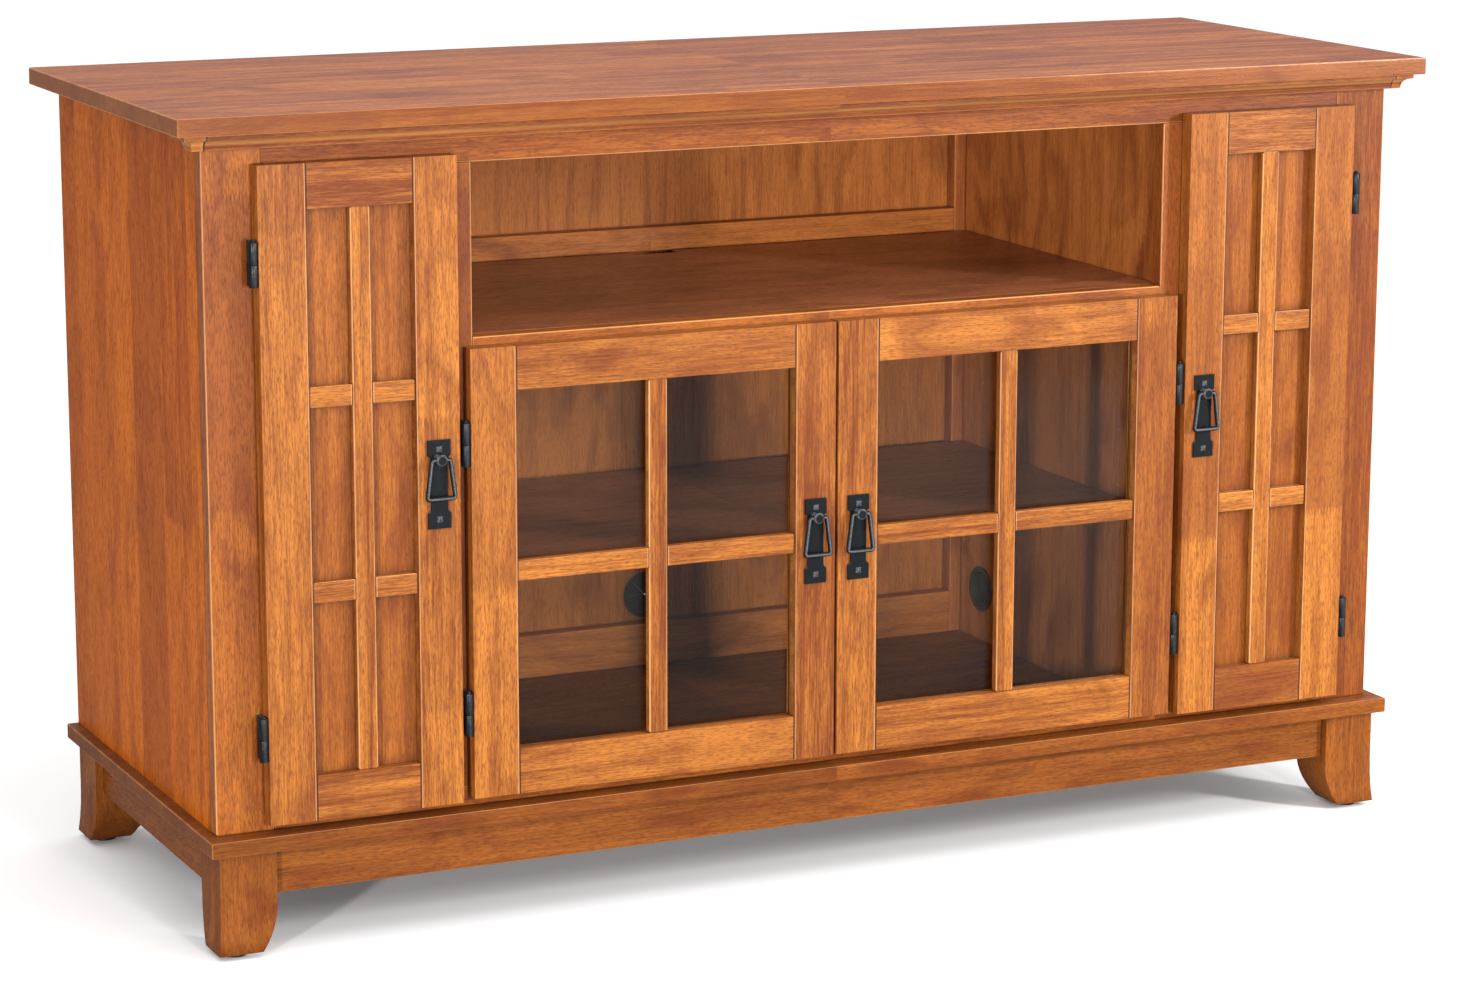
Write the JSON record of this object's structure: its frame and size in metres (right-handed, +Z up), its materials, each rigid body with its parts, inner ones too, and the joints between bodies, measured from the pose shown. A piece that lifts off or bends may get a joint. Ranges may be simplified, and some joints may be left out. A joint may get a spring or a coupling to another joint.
{
  "type": "media cabinet",
  "caption": "Mission-style wooden media cabinet with an open bay over glazed doors, panelled doors beside them, black drop pulls, short curved legs and levelling feet.",
  "frame": {"origin": "on the floor, under the middle of the cabinet's bounding box", "axes": "+X to the right of someone facing the doors, +Y towards the wall, +Z up"},
  "size_m": [1.422, 0.518, 0.85],
  "materials": {
    "top_wood": "satin lacquer over a reddish brown stain, faint flecked grain",
    "case_wood": "satin lacquer over a warm brown stain, edges rubbed lighter",
    "door_wood": "satin lacquer over an orange brown stain",
    "door_panel_wood": "satin lacquer over an orange brown stain, fine straight grain",
    "inner_wood": "flat stain, darker inside the case",
    "back_panel_wood": "thin veneered board, flat stain",
    "black_iron": "hammered black, slightly worn on its edges",
    "tinted_glass": "clear, faintly smoked",
    "zinc_steel": "bright zinc",
    "black_plastic": "fine matt"
  },
  "bodies": {
    "cabinet": {"top_board": "top_wood", "crown_moulding": "top_wood", "side_panel_left": "case_wood", "side_panel_right": "case_wood", "partition_left": "inner_wood", "partition_right": "inner_wood", "outer_stiles": "case_wood", "inner_stiles": "case_wood", "top_rail": "case_wood", "bottom_rail": "case_wood", "bay_shelf": "inner_wood", "bay_shelf_edge": "case_wood", "back_panel": "back_panel_wood", "back_stiles": "case_wood", "back_rails": "case_wood", "center_shelf": "inner_wood", "side_shelf_left": "inner_wood", "side_shelf_right": "inner_wood", "shelf_pins": "zinc_steel", "base_board": "case_wood", "front_apron": "case_wood", "rear_apron": "case_wood", "side_aprons": "case_wood", "front_legs": "case_wood", "rear_legs": "case_wood", "leveler_nuts": "zinc_steel", "cable_grommets": "black_plastic", "door_catches": "black_plastic", "hinge_frame_leaves": "black_iron", "hinge_pins": "black_iron"},
    "panel_door_left": {"panel_door_left_frame": "door_wood", "panel_door_left_panel": "door_panel_wood", "panel_door_left_bars": "door_wood", "panel_door_left_hinge_leaves": "black_iron", "panel_door_left_pull_plate": "black_iron"},
    "glass_door_left": {"glass_door_left_frame": "door_wood", "glass_door_left_bars": "door_wood", "glass_door_left_pane": "tinted_glass", "glass_door_left_stops": "door_wood", "glass_door_left_hinge_leaves": "black_iron", "glass_door_left_pull_plate": "black_iron"},
    "panel_door_left_bail": {"panel_door_left_bail": "black_iron"},
    "glass_door_left_bail": {"glass_door_left_bail": "black_iron"},
    "panel_door_right": {"panel_door_right_frame": "door_wood", "panel_door_right_panel": "door_panel_wood", "panel_door_right_bars": "door_wood", "panel_door_right_hinge_leaves": "black_iron", "panel_door_right_pull_plate": "black_iron"},
    "glass_door_right": {"glass_door_right_frame": "door_wood", "glass_door_right_bars": "door_wood", "glass_door_right_pane": "tinted_glass", "glass_door_right_stops": "door_wood", "glass_door_right_hinge_leaves": "black_iron", "glass_door_right_pull_plate": "black_iron"},
    "panel_door_right_bail": {"panel_door_right_bail": "black_iron"},
    "glass_door_right_bail": {"glass_door_right_bail": "black_iron"},
    "leveler_front_left": {"leveler_front_left": "black_plastic"},
    "leveler_front_right": {"leveler_front_right": "black_plastic"},
    "leveler_rear_left": {"leveler_rear_left": "black_plastic"},
    "leveler_rear_right": {"leveler_rear_right": "black_plastic"}
  },
  "joints": [
    {"name": "panel_door_left_hinge", "type": "hinge", "parent": "cabinet", "child": "panel_door_left", "pos_m": [-0.6335, -0.245, 0.46825], "axis": [0, 0, -1], "range_deg": [0, 110]},
    {"name": "panel_door_left_bail_pivot", "type": "hinge", "parent": "panel_door_left", "child": "panel_door_left_bail", "pos_m": [-0.44475, -0.2542, 0.496], "axis": [-1, 0, 0], "range_deg": [-3, 170]},
    {"name": "glass_door_left_hinge", "type": "hinge", "parent": "cabinet", "child": "glass_door_left", "pos_m": [-0.4145, -0.245, 0.37175], "axis": [0, 0, -1], "range_deg": [0, 110]},
    {"name": "glass_door_left_bail_pivot", "type": "hinge", "parent": "glass_door_left", "child": "glass_door_left_bail", "pos_m": [-0.025, -0.2542, 0.3995], "axis": [-1, 0, 0], "range_deg": [-3, 170]},
    {"name": "panel_door_right_hinge", "type": "hinge", "parent": "cabinet", "child": "panel_door_right", "pos_m": [0.6335, -0.245, 0.46825], "axis": [0, 0, 1], "range_deg": [0, 110]},
    {"name": "panel_door_right_bail_pivot", "type": "hinge", "parent": "panel_door_right", "child": "panel_door_right_bail", "pos_m": [0.44475, -0.2542, 0.496], "axis": [-1, 0, 0], "range_deg": [-3, 170]},
    {"name": "glass_door_right_hinge", "type": "hinge", "parent": "cabinet", "child": "glass_door_right", "pos_m": [0.4145, -0.245, 0.37175], "axis": [0, 0, 1], "range_deg": [0, 110]},
    {"name": "glass_door_right_bail_pivot", "type": "hinge", "parent": "glass_door_right", "child": "glass_door_right_bail", "pos_m": [0.025, -0.2542, 0.3995], "axis": [-1, 0, 0], "range_deg": [-3, 170]},
    {"name": "leveler_front_left_spin", "type": "hinge", "parent": "cabinet", "child": "leveler_front_left", "pos_m": [-0.661, -0.221, 0.02], "axis": [0, 0, 1], "continuous": true},
    {"name": "leveler_front_right_spin", "type": "hinge", "parent": "cabinet", "child": "leveler_front_right", "pos_m": [0.661, -0.221, 0.02], "axis": [0, 0, 1], "continuous": true},
    {"name": "leveler_rear_left_spin", "type": "hinge", "parent": "cabinet", "child": "leveler_rear_left", "pos_m": [-0.661, 0.231, 0.02], "axis": [0, 0, 1], "continuous": true},
    {"name": "leveler_rear_right_spin", "type": "hinge", "parent": "cabinet", "child": "leveler_rear_right", "pos_m": [0.661, 0.231, 0.02], "axis": [0, 0, 1], "continuous": true}
  ]
}
